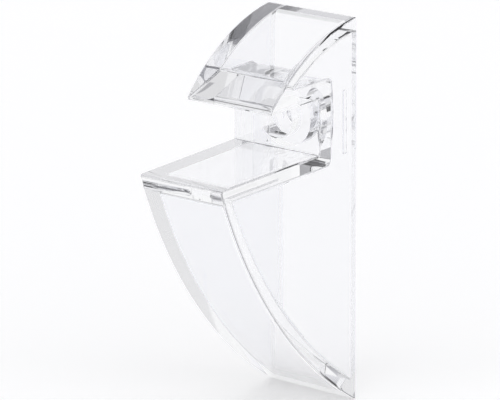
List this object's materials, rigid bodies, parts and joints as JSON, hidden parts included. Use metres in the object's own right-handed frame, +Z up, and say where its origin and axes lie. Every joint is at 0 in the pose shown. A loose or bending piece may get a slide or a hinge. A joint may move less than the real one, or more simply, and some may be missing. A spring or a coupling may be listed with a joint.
{
  "type": "shelf clip",
  "caption": "Clear moulded wall clip that grips the back edge of a shelf in a slot, hollow behind its curved front and open at the wall.",
  "frame": {"origin": "on the axis of the wall screw's hole, where the hole leaves the boss, 2.8 mm in front of the wall", "axes": "+Z up, -Y out of the wall towards the room, X along the shelf's back edge"},
  "size_m": [0.02, 0.039, 0.0737],
  "materials": {
    "clear_plastic": "polished clear moulding"
  },
  "bodies": {
    "root": {"clip_body": "clear_plastic"}
  },
  "joints": []
}
